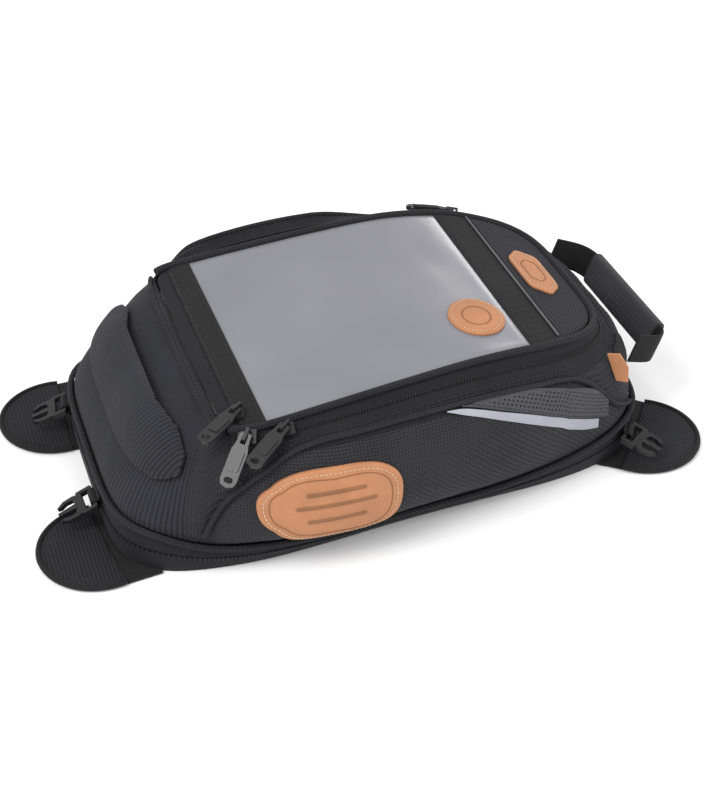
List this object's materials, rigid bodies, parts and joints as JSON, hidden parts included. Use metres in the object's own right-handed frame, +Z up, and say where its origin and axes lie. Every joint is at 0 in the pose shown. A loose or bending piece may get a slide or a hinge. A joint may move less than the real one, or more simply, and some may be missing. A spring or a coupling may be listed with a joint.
{
  "type": "tank bag",
  "caption": "Soft zip-up motorcycle tank bag with a hinged lid and clear map window, a rear carry handle and magnetic flaps that hold its flat base on the tank.",
  "frame": {"origin": "centre of the base outline on the ground", "axes": "+X towards the rear (rider) end, +Y towards the rider's right side, +Z up"},
  "size_m": [0.5272, 0.3088, 0.1271],
  "materials": {
    "antislip_rubber": "matt anti-slip rubberised cloth",
    "ballistic_weave": "coarse woven black polyester",
    "black_metal": "black lacquered zinc",
    "black_plastic": "moulded black acetal",
    "board": "flat plastic board",
    "clear_film": "clear glossy vinyl film",
    "flap_fabric": "ribbed black polyester over foam",
    "grey_lining": "smooth grey lining",
    "grip_rubber": "dark grey soft grip",
    "magnet": "nickel-plated disc magnet",
    "perforated_synthetic": "dark perforated synthetic leather",
    "reflective_cloth": "silver reflective cloth",
    "ribbed_fabric": "finely ribbed dark grey polyester",
    "tan_leather": "embossed tan leather with stitching",
    "webbing": "black webbing and binding",
    "zip_coil": "black nylon coil",
    "zip_tape": "smooth woven zip tape"
  },
  "bodies": {
    "base": {"base_panel": "antislip_rubber", "base_board": "board", "base_band": "ballistic_weave", "base_zip_coil": "zip_coil", "flap_hinges": "webbing"},
    "bag": {"body_band": "ballistic_weave", "lower_piping": "webbing", "front_panel": "ribbed_fabric", "grab_handle": "ribbed_fabric", "side_panel_left": "ballistic_weave", "side_panel_right": "ballistic_weave", "yoke_left": "ballistic_weave", "yoke_right": "ballistic_weave", "rear_panel": "ballistic_weave", "side_piping": "webbing", "zip_gusset_lower": "zip_tape", "zip_coil_lower": "zip_coil", "perforated_panels": "perforated_synthetic", "reflective_strips": "reflective_cloth", "side_badges": "tan_leather", "rear_tag": "tan_leather", "handle_anchors": "webbing", "inner_lining": "grey_lining", "buckle_loops": "webbing"},
    "lid": {"zip_gusset_upper": "zip_tape", "zip_coil_upper": "zip_coil", "lid_piping": "webbing", "lid_panel": "grey_lining", "window_film": "clear_film", "front_strip": "webbing", "map_zip_tape": "zip_tape", "rear_strip": "webbing", "rear_lid_panel": "ribbed_fabric", "window_patch": "tan_leather", "lid_badge": "tan_leather"},
    "carry_handle": {"carry_webbing": "webbing", "carry_grip": "grip_rubber"},
    "flap_front_left": {"flap_front_left": "flap_fabric", "magnets_front_left": "magnet"},
    "buckle_front_left": {"buckle_front_left": "black_plastic"},
    "flap_front_right": {"flap_front_right": "flap_fabric", "magnets_front_right": "magnet"},
    "buckle_front_right": {"buckle_front_right": "black_plastic"},
    "flap_rear_left": {"flap_rear_left": "flap_fabric", "magnets_rear_left": "magnet"},
    "buckle_rear_left": {"buckle_rear_left": "black_plastic"},
    "flap_rear_right": {"flap_rear_right": "flap_fabric", "magnets_rear_right": "magnet"},
    "buckle_rear_right": {"buckle_rear_right": "black_plastic"},
    "map_zip_slider": {"map_zip_slider": "black_metal"},
    "map_zip_pull": {"map_zip_pull": "black_metal"},
    "main_zip_front_slider": {"main_zip_front_slider": "black_metal"},
    "main_zip_front_pull": {"main_zip_front_pull": "black_metal"},
    "main_zip_rear_slider": {"main_zip_rear_slider": "black_metal"},
    "main_zip_rear_pull": {"main_zip_rear_pull": "black_metal"},
    "main_zip_right_slider": {"main_zip_right_slider": "black_metal"},
    "main_zip_right_pull": {"main_zip_right_pull": "black_metal"},
    "base_zip_slider": {"base_zip_slider": "black_metal"},
    "base_zip_pull": {"base_zip_pull": "black_metal"}
  },
  "joints": [
    {"name": "base_expand", "type": "slide", "parent": "base", "child": "bag", "axis": [0, 0, 1], "range_m": [0, 0.035]},
    {"name": "lid_open", "type": "hinge", "parent": "bag", "child": "lid", "pos_m": [-0.1365, 0, 0.107], "axis": [0, -1, 0], "range_deg": [0, 70]},
    {"name": "carry_handle_swing", "type": "hinge", "parent": "bag", "child": "carry_handle", "pos_m": [0.2005, 0, 0.081], "axis": [0, -1, 0], "range_deg": [0, 75]},
    {"name": "flap_front_left_fold", "type": "hinge", "parent": "base", "child": "flap_front_left", "pos_m": [-0.21436, -0.07532, 0.0004], "axis": [-0.1045, 0.9945, 0], "range_deg": [-80, 8]},
    {"name": "buckle_front_left_swing", "type": "hinge", "parent": "bag", "child": "buckle_front_left", "pos_m": [-0.2196, -0.04713, 0.02494], "axis": [-0.0246, 0.9997, 0], "range_deg": [-5, 70]},
    {"name": "flap_front_right_fold", "type": "hinge", "parent": "base", "child": "flap_front_right", "pos_m": [-0.21446, 0.08835, 0.0004], "axis": [0.0523, 0.9986, 0], "range_deg": [-80, 8]},
    {"name": "buckle_front_right_swing", "type": "hinge", "parent": "bag", "child": "buckle_front_right", "pos_m": [-0.21758, 0.07392, 0.02488], "axis": [0.1554, 0.9878, 0], "range_deg": [-5, 70]},
    {"name": "flap_rear_left_fold", "type": "hinge", "parent": "base", "child": "flap_rear_left", "pos_m": [0.20474, -0.08382, 0.0004], "axis": [-0.6157, -0.788, 0], "range_deg": [-80, 8]},
    {"name": "buckle_rear_left_swing", "type": "hinge", "parent": "bag", "child": "buckle_rear_left", "pos_m": [0.19179, -0.10216, 0.02026], "axis": [-0.8137, -0.5813, 0], "range_deg": [-5, 70]},
    {"name": "flap_rear_right_fold", "type": "hinge", "parent": "base", "child": "flap_rear_right", "pos_m": [0.20474, 0.08382, 0.0004], "axis": [0.6157, -0.788, 0], "range_deg": [-80, 8]},
    {"name": "buckle_rear_right_swing", "type": "hinge", "parent": "bag", "child": "buckle_rear_right", "pos_m": [0.19179, 0.10216, 0.02026], "axis": [0.8137, -0.5813, 0], "range_deg": [-5, 70]},
    {"name": "map_zip_slide", "type": "slide", "parent": "lid", "child": "map_zip_slider", "axis": [0, 1, 0], "range_m": [0, 0.186]},
    {"name": "map_zip_pull_swing", "type": "hinge", "parent": "map_zip_slider", "child": "map_zip_pull", "pos_m": [-0.119, -0.095, 0.11731], "axis": [-0.5708, 0.8211, 0], "range_deg": [0, 110]},
    {"name": "main_zip_front_slide", "type": "slide", "parent": "lid", "child": "main_zip_front_slider", "axis": [0.9228, -0.3784, 0.0725], "range_m": [0, 0.003]},
    {"name": "main_zip_front_pull_swing", "type": "hinge", "parent": "main_zip_front_slider", "child": "main_zip_front_pull", "pos_m": [-0.11961, -0.12045, 0.11259], "axis": [-0.7586, 0.6383, 0.1307], "range_deg": [0, 110]},
    {"name": "main_zip_rear_slide", "type": "slide", "parent": "lid", "child": "main_zip_rear_slider", "axis": [0.9877, -0.1189, 0.1017], "range_m": [-0.006, 0.04]},
    {"name": "main_zip_rear_pull_swing", "type": "hinge", "parent": "main_zip_rear_slider", "child": "main_zip_rear_pull", "pos_m": [-0.09286, -0.12391, 0.11609], "axis": [-0.567, 0.8155, 0.1165], "range_deg": [0, 110]},
    {"name": "main_zip_right_slide", "type": "slide", "parent": "lid", "child": "main_zip_right_slider", "axis": [0.9349, -0.2982, -0.1922], "range_m": [-0.03, 0.03]},
    {"name": "main_zip_right_pull_swing", "type": "hinge", "parent": "main_zip_right_slider", "child": "main_zip_right_pull", "pos_m": [0.12499, 0.11053, 0.11526], "axis": [0.0747, 0.6722, -0.7366], "range_deg": [0, 110]},
    {"name": "base_zip_slide", "type": "slide", "parent": "base", "child": "base_zip_slider", "axis": [0.0002, -1, 0], "range_m": [-0.03, 0.06]},
    {"name": "base_zip_pull_swing", "type": "hinge", "parent": "base_zip_slider", "child": "base_zip_pull", "pos_m": [0.22426, 0.00867, 0.01547], "axis": [0.0415, 0.1103, -0.993], "range_deg": [0, 110]}
  ]
}
